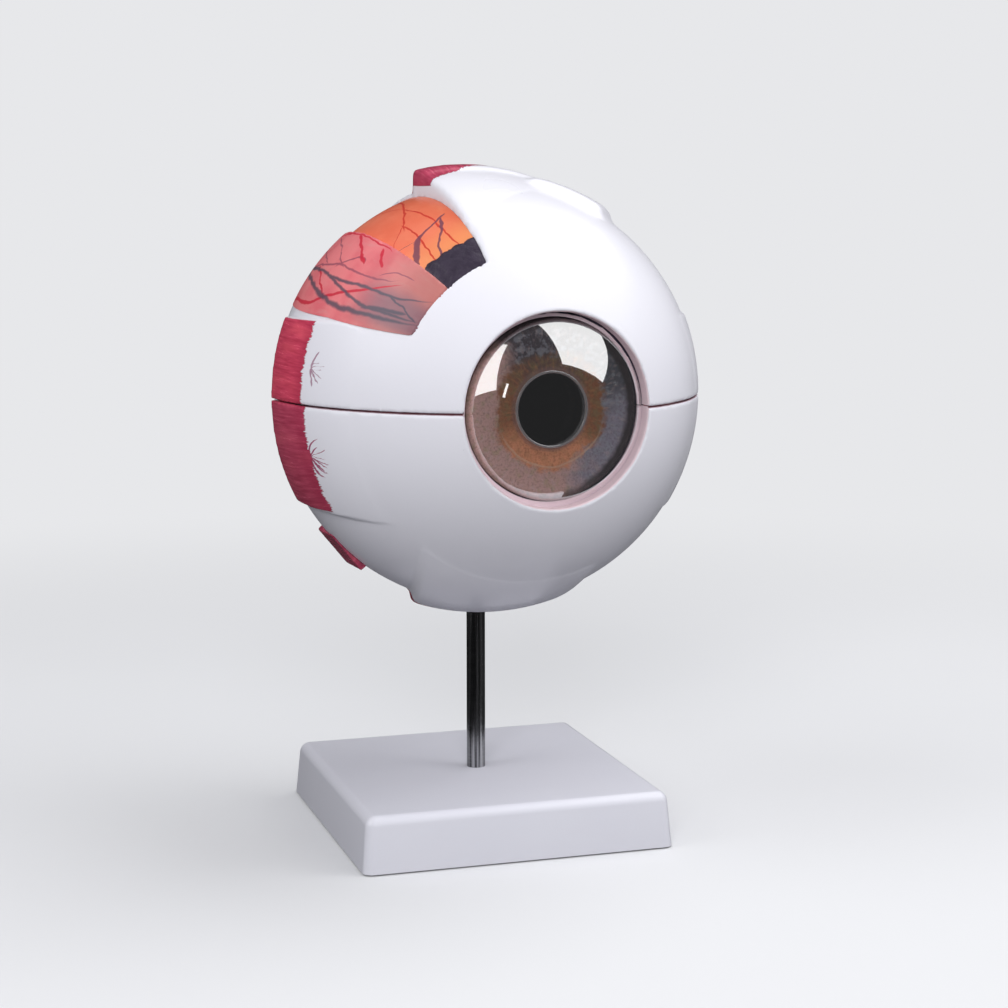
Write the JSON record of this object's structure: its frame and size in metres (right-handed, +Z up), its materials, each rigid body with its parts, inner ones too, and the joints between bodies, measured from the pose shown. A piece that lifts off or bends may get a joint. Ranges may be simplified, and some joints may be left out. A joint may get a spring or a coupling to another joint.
{
  "type": "eye anatomy model",
  "caption": "Desk model of a right human eye on a rod and square base, cut away over its layers; the ball opens at its equator and the optical pieces come out.",
  "frame": {"origin": "on the rod's axis at table level, in the middle of the square base's underside", "axes": "+Z up along the rod; -Y is the front, and the eye looks along -Y turned 4 degrees towards +X; +X is the viewer's right, which is the nose side of this right eye"},
  "size_m": [0.1368, 0.1609, 0.2125],
  "materials": {
    "base_plastic": "moulded, satin gloss, soft edges",
    "base_foam": "closed-cell foam, dull",
    "rod_steel": "drawn bar, fine brushing round the axis",
    "fixing_steel": "zinc plated",
    "socket_plastic": "moulded, plain",
    "sclera_white": "glossy white",
    "choroid_pink": "hand painted, brushed vessels under clear lacquer",
    "retina_orange": "hand painted, thin vessels under clear lacquer",
    "ciliary_dark": "dark paint under clear lacquer",
    "muscle_red": "brushed crimson paint under clear lacquer",
    "vitreous_clear": "clear, polished",
    "lens_clear": "clear, polished",
    "cornea_clear": "clear, polished",
    "iris_paint": "painted fibres under clear lacquer",
    "nerve_cream": "satin cream",
    "sheath_white": "satin off-white"
  },
  "bodies": {
    "stand": {"base_shell": "base_plastic", "base_pad": "base_foam", "support_rod": "rod_steel", "rod_washer": "fixing_steel", "rod_nut": "fixing_steel"},
    "eyeball_lower": {"rod_socket": "socket_plastic", "sclera_lower": "sclera_white", "choroid_lower": "choroid_pink", "retina_lower": "retina_orange", "ciliary_body_lower": "ciliary_dark", "lateral_rectus_lower": "muscle_red", "medial_rectus_lower": "muscle_red", "inferior_rectus": "muscle_red", "inferior_oblique": "muscle_red", "optic_nerve": "nerve_cream", "nerve_sheath": "sheath_white"},
    "eyeball_upper": {"sclera_upper": "sclera_white", "choroid_upper": "choroid_pink", "retina_upper": "retina_orange", "ciliary_body_upper": "ciliary_dark", "lateral_rectus_upper": "muscle_red", "medial_rectus_upper": "muscle_red", "superior_rectus": "muscle_red", "superior_oblique": "sclera_white"},
    "vitreous_body": {"vitreous_front": "vitreous_clear", "vitreous_rear": "vitreous_clear"},
    "lens_body": {"lens": "lens_clear"},
    "iris_body": {"iris": "iris_paint"},
    "cornea_body": {"cornea": "cornea_clear"}
  },
  "joints": [
    {"name": "eyeball_turn", "type": "hinge", "parent": "stand", "child": "eyeball_lower", "pos_m": [0, 0, 0.09], "axis": [0, 0, 1], "continuous": true},
    {"name": "upper_half_lift", "type": "slide", "parent": "eyeball_lower", "child": "eyeball_upper", "axis": [0, 0, 1], "range_m": [0, 0.15]},
    {"name": "vitreous_lift", "type": "slide", "parent": "eyeball_lower", "child": "vitreous_body", "axis": [0, 0, 1], "range_m": [0, 0.0675]},
    {"name": "cornea_out", "type": "slide", "parent": "eyeball_lower", "child": "cornea_body", "axis": [0.0698, -0.9976, 0], "range_m": [0, 0.1]},
    {"name": "iris_out", "type": "slide", "parent": "eyeball_lower", "child": "iris_body", "axis": [0.0698, -0.9976, 0], "range_m": [0, 0.065]},
    {"name": "lens_out", "type": "slide", "parent": "vitreous_body", "child": "lens_body", "axis": [0.0698, -0.9976, 0], "range_m": [0, 0.035]}
  ],
  "couplings": [
    {"joint": "vitreous_lift", "follows": "upper_half_lift", "ratio": 0.45},
    {"joint": "iris_out", "follows": "cornea_out", "ratio": 0.65},
    {"joint": "lens_out", "follows": "cornea_out", "ratio": 0.35}
  ]
}
